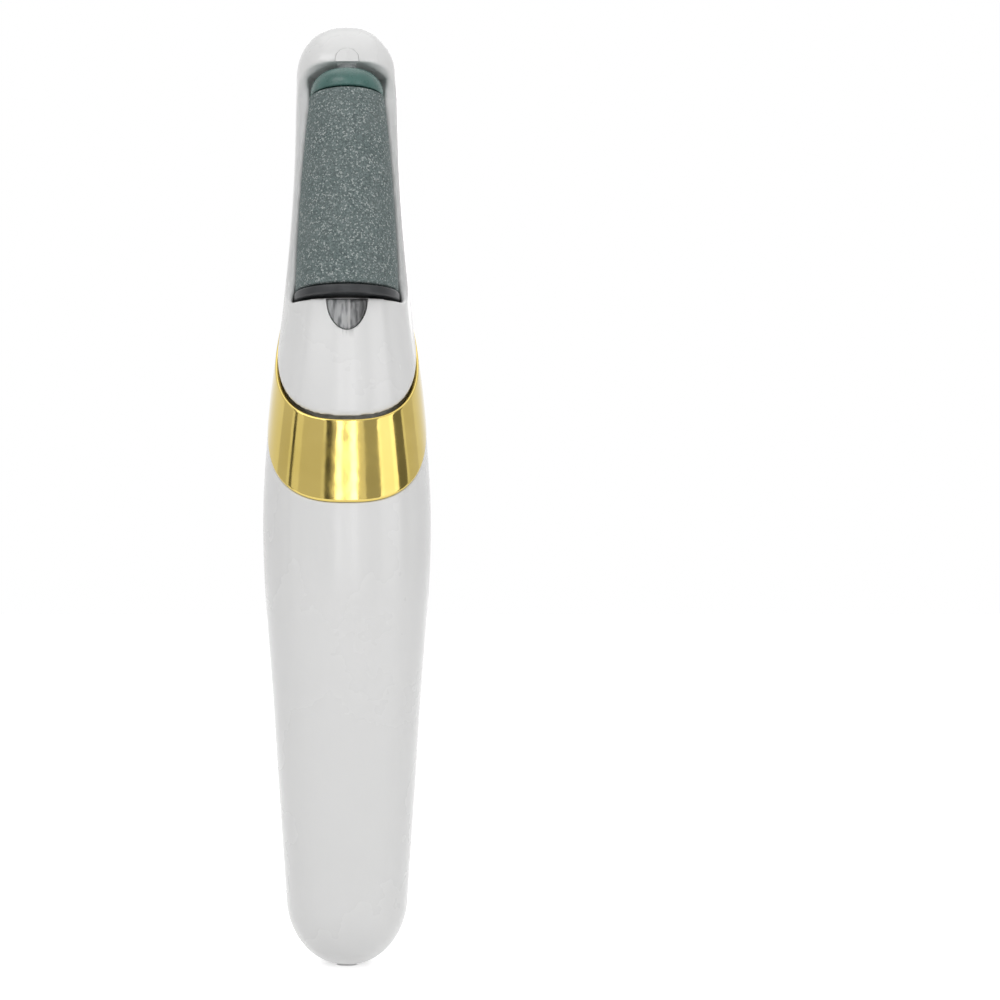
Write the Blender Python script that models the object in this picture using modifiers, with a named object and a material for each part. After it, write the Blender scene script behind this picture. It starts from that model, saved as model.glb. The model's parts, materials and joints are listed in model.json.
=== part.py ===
"""Electric callus remover: a tapered handle, a slanted gold ring and a hood that carries an abrasive roller.

The long axis is +Z with the roller up, the roller faces -Y and the switch faces +Y.
The origin is the lowest point of the handle's rounded end. Lengths are in metres, angles in degrees.
"""

import math

import bmesh
import bpy
import numpy as np
from mathutils import Matrix

# Clearances
GAP = 0.0003  # between pieces that meet
RUN = 0.0001  # radial clearance of a shaft in its hole

# Lengths that stack up from the handle's end to the nose
BASE_ROOM = 0.0245
CELL_LENGTH = 0.0485
CELL_TO_MOTOR = 0.0094
MOTOR_LENGTH = 0.025
END_CAP_LENGTH = 0.002
GEARBOX_HEIGHT = 0.0136
TROUGH_LENGTH = 0.0449
NOSE_HEIGHT = 0.0095
CELL_LOW = BASE_ROOM
CELL_TOP = CELL_LOW + CELL_LENGTH
FLOOR_Z = CELL_TOP + CELL_TO_MOTOR + END_CAP_LENGTH + MOTOR_LENGTH + GEARBOX_HEIGHT
NOSE_Z = FLOOR_Z + TROUGH_LENGTH
BODY_LENGTH = NOSE_Z + NOSE_HEIGHT

# Shell
WALL = 0.0018
BASE_ROUND = 0.012
END_FLAT = 0.22  # the small flat at each round end, as a share of the section there
ROUNDNESS = 2.0  # exponent of the two round ends
FRONT_POWER = 2.7
BACK_POWER = 2.1
BASE_HALF_WIDTH = 0.0113
GRIP_HALF_WIDTH = 0.0135
BAND_HALF_WIDTH = 0.0156
NECK_HALF_WIDTH = 0.0144
GRIP_Z = 0.045
BAND_BELOW_FLOOR = 0.035
NECK_BELOW_FLOOR = 0.018
SIDE_LOW = 0.0026  # hood beyond the roller's radius, at its three stations
SIDE_MIDDLE = 0.0016
SIDE_TOP = 0.0026

# Roller and its axis
TILT = 3.0
AXIS_Y = -0.004
ROLLER_R_LOW = 0.0096
ROLLER_R_TOP = 0.0070
ROLLER_BULGE = 0.0004
ROLLER_GAP = 0.0005
LIFT = 0.0012  # how far the roller rises to leave its dog
CAP_CLEAR = 0.0002  # left above the cap when the roller is lifted
CAP_HEIGHT = 0.0046
DOG_DEPTH = 0.0013  # less than the lift, so the lifted roller clears its dog
RIM_SETBACK = 0.0025
FLANGE = (0.0005, 0.0021)
CAP_TOP = TROUGH_LENGTH - LIFT - CAP_CLEAR
SLEEVE_TOP = CAP_TOP - CAP_HEIGHT
CORE_R = 0.0050
CORE_BORE = 0.0024
PIN_R = 0.0019
PIN_COLLAR_R = 0.0022
PIN_SOCKET = 0.0014

# Gears
MODULE = 0.0005
BACKLASH = 0.00014
GEAR_WIDTH = 0.0025
MOTOR_OFFSET = 0.0055
TEETH = {"motor": 10, "wheel": 14, "small": 11, "output": 13}
SHAFT_R = 0.0015
AXLE_R = 0.00075

# Slanted ring: its two planes, measured from the trough floor
RING_LOW = (-0.0364, -0.0026)  # at the front and at the back
RING_TOP = (-0.0216, 0.0062)
RING_PROUD = 0.0002
NECK_WALL = 0.0010

# Switch
SLIDER_TRAVEL = 0.006
SLIDER_LENGTH = 0.022
SLIDER_HALF_WIDTH = 0.00295
SLIDER_TOP_BELOW_FLOOR = 0.0195
RECESS_Y = 0.0125
SLIDER_Y = (0.0128, 0.0138)
RIDGE_Y = 0.0143

# Cell, boards and lens
CELL_R = 0.0071
CELL_Y = -0.0018
BOARD_Y = (0.0069, 0.0079)
LENS_HALF_WIDTH = 0.00365
LENS_HEIGHT = 0.0056

# Pieces behind the trough floor
FLOOR_THICK = 0.0020
PLATE_THICK = 0.0011
TOP_PLATE = -0.0033
OUTPUT_TOP = TOP_PLATE - PLATE_THICK - 0.0005
OUTPUT_LOW = OUTPUT_TOP - GEAR_WIDTH
WHEEL_TOP = OUTPUT_LOW - 0.0007
WHEEL_LOW = WHEEL_TOP - GEAR_WIDTH
LOW_PLATE = -GEARBOX_HEIGHT + GAP + PLATE_THICK
PLATE_R = 0.0088
PLATE_Y = 0.0036
PLATE_FRONT = -0.0034  # the top plate stops behind the lamp board
POST_R = 0.0016
POST_BORE = 0.0010
POST_CIRCLE = 0.0071
POST_ANGLES = (50, 130, 205)
SCREW_ANGLES = (95, 185)
SCREW_CIRCLE = 0.00545
POST_SCREW_R = 0.0007
LOW_BUSH_R = 0.0022
MOTOR_SHAFT_R = 0.0010

# Drive dog and pin
DOG_FLATS = 0.0048
COLLAR_LOW = SLEEVE_TOP - 0.0015
SPRING_LOW = COLLAR_LOW - 0.0060

# Switch stem, charging socket and knob
SLIDER_TOP = FLOOR_Z - SLIDER_TOP_BELOW_FLOOR
SLIDER_LOW = SLIDER_TOP - SLIDER_LENGTH
STEM_Z = SLIDER_LOW + SLIDER_LENGTH / 2
STEM_HALF = 0.0012
PAD_Y = 0.0115
SOCKET_HALF = (0.0037, 0.0013)
PORT_DEPTH = 0.0020
KNOB_Z = CELL_TOP - 0.0035

SEGMENTS = 36
LOFT_STEP = 0.009
FAR = 0.06

COLOURS = {
    "white_shell": ((0.80, 0.80, 0.79), 0.25, 0.0),
    "gold": ((0.83, 0.62, 0.20), 0.15, 1.0),
    "pale_gold": ((0.90, 0.80, 0.52), 0.35, 1.0),
    "grit": ((0.16, 0.20, 0.19), 0.9, 0.0),
    "green_cap": ((0.06, 0.15, 0.13), 0.3, 0.0),
    "dark_plastic": ((0.03, 0.03, 0.03), 0.5, 0.0),
    "grey_plastic": ((0.45, 0.46, 0.47), 0.5, 0.0),
    "steel": ((0.6, 0.6, 0.62), 0.3, 1.0),
    "brass": ((0.7, 0.5, 0.2), 0.35, 1.0),
    "clear": ((0.8, 0.85, 0.88), 0.05, 0.0),
    "board": ((0.02, 0.18, 0.08), 0.5, 0.0),
    "rubber": ((0.02, 0.02, 0.02), 0.8, 0.0),
    "copper": ((0.75, 0.35, 0.2), 0.3, 1.0),
    "cell_wrap": ((0.05, 0.2, 0.5), 0.4, 0.0),
}


def clear_scene():
    for obj in list(bpy.data.objects):
        bpy.data.objects.remove(obj, do_unlink=True)


def collection(name):
    made = bpy.data.collections.new(name)
    bpy.context.scene.collection.children.link(made)
    return made


clear_scene()
PARTS = collection("callus_remover")
CUTTERS = collection("cutters")


def material(name):
    found = bpy.data.materials.get(name)
    if found:
        return found
    colour, roughness, metallic = COLOURS[name]
    made = bpy.data.materials.new(name)
    made.use_nodes = True
    shader = made.node_tree.nodes["Principled BSDF"]
    shader.inputs["Base Color"].default_value = (*colour, 1.0)
    shader.inputs["Roughness"].default_value = roughness
    shader.inputs["Metallic"].default_value = metallic
    return made


def add(name, mesh, finish=None, parent=None, place=None):
    """Links a part when it has a finish, or else a cutter."""
    obj = bpy.data.objects.new(name, mesh)
    (PARTS if finish else CUTTERS).objects.link(obj)
    if finish:
        mesh.materials.append(material(finish))
    else:
        obj.hide_render = True
        obj.display_type = "WIRE"
    obj.parent = parent
    if place is not None:
        obj.matrix_local = place
    return obj


def boolean(obj, tool, operation="DIFFERENCE"):
    made = obj.modifiers.new(f"{operation.lower()}_{tool.name}", "BOOLEAN")
    made.operation = operation
    made.object = tool
    made.solver = "EXACT"
    return obj


def at(x=0.0, y=0.0, z=0.0):
    return Matrix.Translation((x, y, z))


# Turns a flat outline: its X and Y become world Y, Z or world X, Z
ALONG_X = Matrix(((0, 0, 1, 0), (1, 0, 0, 0), (0, 1, 0, 0), (0, 0, 0, 1)))
ALONG_Y = Matrix(((1, 0, 0, 0), (0, 0, -1, 0), (0, 1, 0, 0), (0, 0, 0, 1)))


def bmesh_to_mesh(work, name):
    mesh = bpy.data.meshes.new(name)
    work.to_mesh(mesh)
    work.free()
    return mesh


def box(name, low, high, finish=None, parent=None):
    work = bmesh.new()
    bmesh.ops.create_cube(work, size=1.0)
    size = [h - l for l, h in zip(low, high)]
    middle = [(h + l) / 2 for l, h in zip(low, high)]
    bmesh.ops.transform(
        work, matrix=Matrix.Translation(middle) @ Matrix.Diagonal((*size, 1)), verts=work.verts,
    )
    return add(name, bmesh_to_mesh(work, name), finish, parent, Matrix.Identity(4) if parent else None)


def flat_piece(name, outlines, low, high, finish=None, parent=None, turn=None):
    """A flat outline, with any holes after it, given its thickness from low to high along its normal."""
    curve = bpy.data.curves.new(name, "CURVE")
    curve.dimensions = "2D"
    curve.fill_mode = "BOTH"
    curve.extrude = (high - low) / 2
    for outline in outlines:
        spline = curve.splines.new("POLY")
        spline.points.add(len(outline) - 1)
        spline.points.foreach_set("co", np.array([(x, y, 0.0, 1.0) for x, y in outline]).ravel())
        spline.use_cyclic_u = True
    temporary = bpy.data.objects.new(name, curve)
    bpy.context.scene.collection.objects.link(temporary)
    graph = bpy.context.evaluated_depsgraph_get()
    mesh = bpy.data.meshes.new_from_object(temporary.evaluated_get(graph))
    bpy.data.objects.remove(temporary, do_unlink=True)
    work = bmesh.new()
    work.from_mesh(mesh)
    bmesh.ops.remove_doubles(work, verts=work.verts, dist=1e-6)
    bmesh.ops.translate(work, verts=work.verts, vec=(0, 0, (high + low) / 2))
    bmesh.ops.transform(work, matrix=turn or Matrix.Identity(4), verts=work.verts)
    bmesh.ops.recalc_face_normals(work, faces=work.faces)
    work.to_mesh(mesh)
    work.free()
    return add(name, mesh, finish, parent, Matrix.Identity(4) if parent else None)


def turned(name, profile, finish=None, parent=None, place=None, steps=20):
    """A profile of (radius, height), from top to bottom on its outer side, turned about Z."""
    mesh = bpy.data.meshes.new(name)
    closed = profile[0][0] > 0
    edges = [(i, i + 1) for i in range(len(profile) - 1)]
    if closed:
        edges.append((len(profile) - 1, 0))
    mesh.from_pydata([(r, 0.0, z) for r, z in profile], edges, [])
    obj = add(name, mesh, finish, parent, place)
    screw = obj.modifiers.new("turn", "SCREW")
    screw.steps = screw.render_steps = steps
    screw.use_merge_vertices = True
    screw.merge_threshold = 0.00001
    screw.use_smooth_shade = True
    return obj


def rod(name, radius, low, high, finish=None, parent=None, place=None, bore=0.0, steps=20):
    if bore:
        profile = [(bore, high), (radius, high), (radius, low), (bore, low)]
    else:
        profile = [(0, high), (radius, high), (radius, low), (0, low)]
    return turned(name, profile, finish, parent, place, steps)


def wire(name, points, radius, finish, parent=None):
    curve = bpy.data.curves.new(name, "CURVE")
    curve.dimensions = "3D"
    curve.bevel_depth = radius
    curve.bevel_resolution = 2
    curve.use_fill_caps = True
    spline = curve.splines.new("POLY")
    spline.points.add(len(points) - 1)
    spline.points.foreach_set("co", np.array([(*p, 1.0) for p in points]).ravel())
    return add(name, curve, finish, parent, Matrix.Identity(4) if parent else None)


def oblong(half_width, low, high, per_end=9):
    """An upright slot outline with half-round ends."""
    points = []
    for middle, start in ((high - half_width, 0.0), (low + half_width, math.pi)):
        for angle in np.linspace(start, start + math.pi, per_end):
            points.append((half_width * math.cos(angle), middle + half_width * math.sin(angle)))
    return points


def roller_radius(along):
    """Straight taper plus a shallow parabola, along from the flange (0) to the sleeve's top (1)."""
    return ROLLER_R_LOW + (ROLLER_R_TOP - ROLLER_R_LOW) * along + 4 * ROLLER_BULGE * along * (1 - along)


# Each station: height, half width, front depth, back depth, where the section is widest
STATIONS = np.array([
    (0.0, BASE_HALF_WIDTH - 0.0008, -0.0102, 0.0104, 0.0),
    (BASE_ROUND, BASE_HALF_WIDTH, -0.0108, 0.0110, 0.0),
    (GRIP_Z, GRIP_HALF_WIDTH, -0.0126, 0.0129, 0.0),
    (FLOOR_Z - BAND_BELOW_FLOOR, BAND_HALF_WIDTH, -0.0142, 0.0143, 0.0005),
    (FLOOR_Z - NECK_BELOW_FLOOR, NECK_HALF_WIDTH, -0.0137, 0.0143, 0.0030),
    (FLOOR_Z, ROLLER_R_LOW + SIDE_LOW, -0.0112, 0.0141, 0.0048),
    (FLOOR_Z + TROUGH_LENGTH / 2, roller_radius(0.5) + SIDE_MIDDLE, -0.0080, 0.0131, 0.0058),
    (NOSE_Z, ROLLER_R_TOP + SIDE_TOP, -0.0048, 0.0116, 0.0054),
    (BODY_LENGTH, ROLLER_R_TOP + SIDE_TOP - 0.0003, -0.0036, 0.0110, 0.0052),
])


def station_values(z):
    """A smooth cubic through the stations, with each slope taken from its two neighbours."""
    heights, values = STATIONS[:, 0], STATIONS[:, 1:]
    slopes = np.gradient(values, heights, axis=0)
    i = int(np.clip(np.searchsorted(heights, z) - 1, 0, len(heights) - 2))
    span = heights[i + 1] - heights[i]
    t = (z - heights[i]) / span
    return (
        (2 * t**3 - 3 * t**2 + 1) * values[i]
        + (t**3 - 2 * t**2 + t) * span * slopes[i]
        + (3 * t**2 - 2 * t**3) * values[i + 1]
        + (t**3 - t**2) * span * slopes[i + 1]
    )


def end_factor(z, inset):
    """How much the two round ends narrow the section at a height."""
    low = (BASE_ROUND - z) / (BASE_ROUND - inset)
    high = (z - NOSE_Z) / (NOSE_HEIGHT - inset)
    t = min(max(low, high, 0.0), 1.0)
    return max((1 - t**ROUNDNESS) ** (1 / ROUNDNESS), END_FLAT)


def section(z, inset=0.0):
    half, front, back, widest = station_values(z)
    factor = end_factor(z, inset)
    points = []
    for angle in np.linspace(0, 2 * math.pi, SEGMENTS, endpoint=False):
        across, deep = math.cos(angle), math.sin(angle)
        power = 2 / (FRONT_POWER if deep < 0 else BACK_POWER)
        reach = (widest - front if deep < 0 else back - widest) - inset
        x = (half - inset) * factor * math.copysign(abs(across) ** power, across)
        y = widest + reach * factor * math.copysign(abs(deep) ** power, deep)
        points.append((x, y, z))
    return points


def section_heights(low, high, inset):
    """Heights for the loft, closer together where an end is round."""
    turns = np.linspace(0, math.pi / 2, 7)
    base = [BASE_ROUND - (BASE_ROUND - inset) * math.cos(a) for a in turns]
    nose = [NOSE_Z + (NOSE_HEIGHT - inset) * math.sin(a) for a in turns]
    middle = list(np.arange(BASE_ROUND, NOSE_Z, LOFT_STEP))[1:-1]
    return [low] + [z for z in base + middle + nose if low < z < high] + [high]


def loft(name, rings, finish=None):
    work = bmesh.new()
    rows = [[work.verts.new(p) for p in ring] for ring in rings]
    for lower, upper in zip(rows, rows[1:]):
        for i in range(len(lower)):
            j = (i + 1) % len(lower)
            work.faces.new((lower[i], lower[j], upper[j], upper[i]))
    work.faces.new(rows[0][::-1])
    work.faces.new(rows[-1])
    return add(name, bmesh_to_mesh(work, name), finish)


def body_loft(name, low, high, inset=0.0, finish=None):
    return loft(name, [section(z, inset) for z in section_heights(low, high, inset)], finish)


def plane_height(ends, shift, y):
    """Height of a slanted plane through its front and back points."""
    front, back = ends
    slope = (back - front) / 0.0285
    return FLOOR_Z + shift + front + slope * (y + 0.0142)


def beyond_plane(name, ends, shift, above):
    far = BODY_LENGTH + FAR if above else -FAR
    outline = [
        (-FAR, plane_height(ends, shift, -FAR)),
        (FAR, plane_height(ends, shift, FAR)),
        (FAR, far),
        (-FAR, far),
    ]
    return flat_piece(name, [outline], -FAR, FAR, turn=ALONG_X)


def slanted_ring(name, inset, wall, low_shift, high_shift, finish):
    low = FLOOR_Z + RING_LOW[0] + low_shift - 0.004
    high = FLOOR_Z + RING_TOP[1] + high_shift + 0.004
    ring = body_loft(name, low, high, inset, finish)
    boolean(ring, body_loft(f"{name}_inside", low - 0.002, high + 0.002, inset + wall))
    boolean(ring, beyond_plane(f"{name}_top_cut", RING_TOP, high_shift, True))
    boolean(ring, beyond_plane(f"{name}_low_cut", RING_LOW, low_shift, False))
    return ring


def empty(name, parent=None, place=None):
    made = bpy.data.objects.new(name, None)
    PARTS.objects.link(made)
    made.parent = parent
    made.matrix_local = place or Matrix.Identity(4)
    return made


tilted = at(0, AXIS_Y, FLOOR_Z) @ Matrix.Rotation(math.radians(-TILT), 4, "X")
ROLLER_AXIS = empty("roller_axis", place=tilted)
TO_SHAFTS = MODULE * (TEETH["motor"] + TEETH["wheel"]) / 2  # motor to compound, and compound to output
IDLER_X = math.sqrt(TO_SHAFTS**2 - (MOTOR_OFFSET / 2) ** 2)
MOTOR_AXIS = empty("motor_axis", ROLLER_AXIS, at(0, MOTOR_OFFSET, 0))
IDLER_AXIS = empty("idler_axis", ROLLER_AXIS, at(IDLER_X, MOTOR_OFFSET / 2, 0))

# Levels along the roller axis, down from the trough floor


def sleeve_profile(extra=0.0, low=FLANGE[1] + GAP, high=SLEEVE_TOP, steps=8):
    heights = np.linspace(high, low, steps)
    return [(roller_radius((z - low) / (high - low)) + extra, z) for z in heights]


def make_roller():
    inner = CORE_R + GAP
    profile = sleeve_profile() + [(inner, FLANGE[1] + GAP), (inner, SLEEVE_TOP)]
    turned("roller_sleeve", profile, "grit", ROLLER_AXIS, Matrix.Identity(4), 36)

    cap_low = SLEEVE_TOP + GAP
    dome = [
        (
            PIN_R + 0.0012 + (ROLLER_R_TOP - 0.0002 - PIN_R - 0.0012) * math.sin(a),
            cap_low + (CAP_TOP - cap_low) * math.cos(a),
        )
        for a in np.linspace(0, math.pi / 2, 6)
    ]
    bore = PIN_R + RUN
    turned(
        "roller_cap",
        [(bore, CAP_TOP)] + dome + [(bore, cap_low)],
        "green_cap",
        ROLLER_AXIS,
        Matrix.Identity(4),
    )

    core = [
        (CORE_BORE, SLEEVE_TOP),
        (CORE_R, SLEEVE_TOP),
        (CORE_R, FLANGE[1]),
        (ROLLER_R_LOW + 0.00015, FLANGE[1]),
        (ROLLER_R_LOW + 0.00015, FLANGE[0]),
        (0.0012, FLANGE[0]),
        (0.0012, SPRING_LOW),
        (CORE_BORE, SPRING_LOW),
    ]
    core_body = turned("roller_core", core, "dark_plastic", ROLLER_AXIS, Matrix.Identity(4))
    boolean(
        core_body, hexagon("dog_socket", DOG_FLATS + 0.0004, FLANGE[0] - 0.001, FLANGE[0] + DOG_DEPTH + GAP),
    )

    collar_top = SLEEVE_TOP - GAP
    pin = [
        (0, TROUGH_LENGTH + PIN_SOCKET),
        (PIN_R, TROUGH_LENGTH + PIN_SOCKET),
        (PIN_R, collar_top),
        (PIN_COLLAR_R, collar_top),
        (PIN_COLLAR_R, COLLAR_LOW),
        (0.0011, COLLAR_LOW),
        (0.0011, COLLAR_LOW - 0.0020),
        (0, COLLAR_LOW - 0.0020),
    ]
    turned("roller_pin", pin, "grey_plastic", ROLLER_AXIS, Matrix.Identity(4))
    wire(
        "pin_spring",
        coil(0.00175, 4.5, SPRING_LOW + 0.0004, COLLAR_LOW - 0.0004),
        0.0002,
        "steel",
        ROLLER_AXIS,
    )


def hexagon(name, flats, low, high, finish=None, parent=None):
    corner = flats / math.sqrt(3)
    outline = [(corner * math.cos(k * math.pi / 3), corner * math.sin(k * math.pi / 3)) for k in range(6)]
    return flat_piece(name, [outline], low, high, finish, parent or ROLLER_AXIS)


def coil(radius, turns, low, high, per_turn=10):
    count = int(turns * per_turn) + 1
    share = np.linspace(0, 1, count)
    angle = 2 * math.pi * turns * share
    return [
        (radius * math.cos(a), radius * math.sin(a), low + (high - low) * s) for a, s in zip(angle, share)
    ]


def gear_outline(teeth, phase, bore):
    """Trapezoid teeth, thinned by the backlash: root, flank at the pitch circle, tip."""
    pitch = MODULE * teeth / 2
    tip, root = pitch + 0.8 * MODULE, pitch - 1.15 * MODULE
    half = (math.pi * MODULE / 2 - BACKLASH) / 2
    corners = ((root, half * 1.5), (pitch, half), (tip, half * 0.5))
    points = []
    for k in range(teeth):
        middle = phase + 2 * math.pi * k / teeth
        for radius, reach in corners:
            points.append((radius, middle - reach / radius))
        for radius, reach in reversed(corners):
            points.append((radius, middle + reach / radius))
    outer = [(r * math.cos(a), r * math.sin(a)) for r, a in points]
    inner = [
        (bore * math.cos(a), bore * math.sin(a)) for a in np.linspace(0, 2 * math.pi, 16, endpoint=False)
    ]
    return [outer, inner]


def phase_in_mesh(direction, teeth_a, phase_a, teeth_b):
    """Phase of gear B, lying that way from gear A, that puts B's gap on A's tooth."""
    share = (direction - phase_a) * teeth_a / (2 * math.pi)
    return direction + math.pi - (0.5 - share) * 2 * math.pi / teeth_b


def make_gears():
    to_idler = math.atan2(MOTOR_OFFSET / 2, IDLER_X)
    small_phase = phase_in_mesh(to_idler, TEETH["output"], 0.0, TEETH["small"])
    to_motor = math.atan2(MOTOR_OFFSET / 2, -IDLER_X)
    motor_phase = phase_in_mesh(to_motor, TEETH["wheel"], 0.0, TEETH["motor"])
    hold = SHAFT_R + RUN
    flat_piece(
        "output_gear",
        gear_outline(TEETH["output"], 0.0, hold),
        OUTPUT_LOW,
        OUTPUT_TOP,
        "brass",
        ROLLER_AXIS,
    )
    on_axle = AXLE_R + RUN
    gear = flat_piece(
        "compound_gear", gear_outline(TEETH["small"], small_phase, on_axle),
        WHEEL_TOP - 0.0004, OUTPUT_TOP, "grey_plastic", IDLER_AXIS,
    )
    wheel = flat_piece(
        "compound_wheel",
        gear_outline(TEETH["wheel"], 0.0, on_axle),
        WHEEL_LOW,
        WHEEL_TOP,
        parent=IDLER_AXIS,
    )
    boolean(gear, wheel, "UNION")
    motor_bore = MOTOR_SHAFT_R + RUN
    flat_piece(
        "motor_pinion", gear_outline(TEETH["motor"], motor_phase, motor_bore),
        WHEEL_LOW - 0.0003, WHEEL_TOP, "brass", MOTOR_AXIS,
    )
    rod(
        "gear_axle",
        AXLE_R,
        LOW_PLATE - PLATE_THICK,
        TOP_PLATE,
        "steel",
        IDLER_AXIS,
        Matrix.Identity(4),
        steps=16,
    )


def around(name, radius, x, y, low, high, parent):
    return rod(name, radius, low, high, None, parent, at(x, y, 0), steps=20)


def make_gear_frame():
    for name, top in (("gear_plate_top", TOP_PLATE), ("gear_plate_low", LOW_PLATE)):
        plate = rod(name, PLATE_R, top - PLATE_THICK, top, "steel", ROLLER_AXIS, at(0, PLATE_Y, 0), steps=40)
        low, high = top - PLATE_THICK - 0.001, top + 0.001
        bush = LOW_BUSH_R if top == LOW_PLATE else SHAFT_R
        boolean(plate, around(f"{name}_spindle_hole", bush + GAP, 0, 0, low, high, ROLLER_AXIS))
        boolean(plate, around(f"{name}_axle_hole", AXLE_R + RUN, 0, 0, low, high, IDLER_AXIS))
        if top == LOW_PLATE:
            boolean(plate, around("shaft_hole", MOTOR_SHAFT_R + GAP, 0, 0, low, high, MOTOR_AXIS))
        else:
            front = box("plate_front_cut", (-0.02, -0.02, low), (0.02, PLATE_FRONT, high), parent=ROLLER_AXIS)
            boolean(plate, front)
        for i, (x, y) in enumerate(post_places(), 1):
            if top == TOP_PLATE:
                boolean(
                    plate, around(f"{name}_post_hole_{i}", POST_SCREW_R + RUN, x, y, low, high, ROLLER_AXIS),
                )
        if top == LOW_PLATE:
            for i, (x, y) in enumerate(screw_places(), 1):
                boolean(
                    plate, around(f"motor_screw_hole_{i}", POST_SCREW_R + RUN, x, y, low, high, MOTOR_AXIS),
                )
    for i, (x, y) in enumerate(post_places(), 1):
        rod(
            f"gear_post_{i}", POST_R, LOW_PLATE + GAP, TOP_PLATE - PLATE_THICK - GAP,
            "brass", ROLLER_AXIS, at(x, y, 0), POST_BORE, 16,
        )
        screw(f"post_screw_{i}", x, y, TOP_PLATE + GAP / 3, ROLLER_AXIS)
    for i, (x, y) in enumerate(screw_places(), 1):
        screw(f"motor_screw_{i}", x, y, LOW_PLATE + GAP / 3, MOTOR_AXIS)


def post_places():
    angles = [math.radians(a) for a in POST_ANGLES]
    return [(POST_CIRCLE * math.cos(a), PLATE_Y + POST_CIRCLE * math.sin(a)) for a in angles]


def screw_places():
    angles = [math.radians(a) for a in SCREW_ANGLES]
    return [(SCREW_CIRCLE * math.cos(a), SCREW_CIRCLE * math.sin(a)) for a in angles]


def screw(name, x, y, under_head, parent):
    profile = [
        (0, under_head + 0.0007),
        (0.0012, under_head + 0.0007),
        (0.0012, under_head),
        (POST_SCREW_R, under_head),
        (POST_SCREW_R, under_head - 0.0026),
        (0, under_head - 0.0026),
    ]
    turned(name, profile, "steel", parent, at(x, y, 0), 14)


def make_spindle():
    dog_top = FLANGE[0] + DOG_DEPTH - 0.0003
    rod("spindle", SHAFT_R, LOW_PLATE - PLATE_THICK, dog_top, "steel", ROLLER_AXIS, Matrix.Identity(4))
    dog = hexagon("drive_dog", DOG_FLATS, GAP, dog_top, "steel")
    boolean(dog, around("dog_bore", SHAFT_R + RUN, 0, 0, -0.001, dog_top + 0.001, ROLLER_AXIS))
    rod(
        "spindle_bush",
        0.0030,
        -FLOOR_THICK,
        -GAP / 3,
        "brass",
        ROLLER_AXIS,
        Matrix.Identity(4),
        SHAFT_R + RUN,
    )
    rod(
        "lower_bush",
        LOW_BUSH_R,
        LOW_PLATE - PLATE_THICK,
        LOW_PLATE,
        "brass",
        ROLLER_AXIS,
        Matrix.Identity(4),
        SHAFT_R + RUN,
    )
    low = -FLOOR_THICK - 0.0010
    rod("shaft_seal", 0.0027, low, low + 0.0007, "rubber", ROLLER_AXIS, Matrix.Identity(4), SHAFT_R + RUN)


def make_motor():
    top = -GEARBOX_HEIGHT
    low = top - MOTOR_LENGTH
    flats = box("motor_flats", (-0.02, -0.0077, low - 0.01), (0.02, 0.0077, top + 0.01), parent=MOTOR_AXIS)
    can = rod("motor_can", 0.0100, low, top, "steel", MOTOR_AXIS, Matrix.Identity(4), steps=40)
    boolean(can, flats, "INTERSECT")
    boolean(can, around("can_shaft_hole", MOTOR_SHAFT_R + RUN, 0, 0, top - 0.004, top + 0.001, MOTOR_AXIS))
    for i, (x, y) in enumerate(screw_places(), 1):
        boolean(
            can,
            around(f"can_screw_hole_{i}", POST_SCREW_R + RUN, x, y, top - 0.003, top + 0.001, MOTOR_AXIS),
        )
    cap_low = low - END_CAP_LENGTH
    cap = rod(
        "motor_end_cap",
        0.0096,
        cap_low,
        low - GAP,
        "dark_plastic",
        MOTOR_AXIS,
        Matrix.Identity(4),
        steps=40,
    )
    boolean(cap, flats, "INTERSECT")
    rod(
        "motor_shaft",
        MOTOR_SHAFT_R,
        top - 0.0035,
        WHEEL_TOP,
        "steel",
        MOTOR_AXIS,
        Matrix.Identity(4),
        steps=16,
    )
    for i, x in enumerate((-0.0045, 0.0045), 1):
        box(
            f"motor_terminal_{i}", (x - 0.0010, -0.0004, cap_low - 0.0026), (
                x + 0.0010, 0.0004, cap_low - GAP,
            ),
            "brass", MOTOR_AXIS,
        )


def trough_cutter(name, extra, low, high):
    """The roller's space: a half cone behind the axis, with straight sides out to the front."""
    rings = []
    for s in np.linspace(low, high, 8):
        along = min(max((s - FLANGE[0]) / (SLEEVE_TOP - FLANGE[0]), 0.0), 1.0)
        radius = roller_radius(along) + ROLLER_GAP + extra
        arc = [(radius * math.cos(a), radius * math.sin(a), s) for a in np.linspace(0, math.pi, 21)]
        rings.append(arc + [(-radius, -0.04, s), (radius, -0.04, s)])
    cutter = loft(name, rings)
    cutter.parent = ROLLER_AXIS
    return cutter


def scoop_cutter():
    """Sets the hood's rim back beside the roller, with a quarter arc at each end."""
    arc = 0.006
    low, high = 0.0, TROUGH_LENGTH
    outline = [(-0.04, low)]
    outline += [
        (RIM_SETBACK - arc + arc * math.sin(a), low + arc - arc * math.cos(a)) for a in np.linspace(0, math.pi / 2, 8)
    ]
    outline += [
        (RIM_SETBACK - arc + arc * math.cos(a), high - arc + arc * math.sin(a)) for a in np.linspace(0, math.pi / 2, 8)
    ]
    outline += [(-0.04, high)]
    return flat_piece("scoop", [outline], -0.03, 0.03, parent=ROLLER_AXIS, turn=ALONG_X)


def lens_outline(extra):
    """A half-round window whose flat edge is level with the trough floor."""
    top = FLOOR_Z + 0.0002 + extra
    reach, drop = LENS_HALF_WIDTH + extra, LENS_HEIGHT + 2 * extra
    arc = [(reach * math.cos(a), top - drop * math.sin(a)) for a in np.linspace(0, math.pi, 17)]
    return arc


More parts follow.
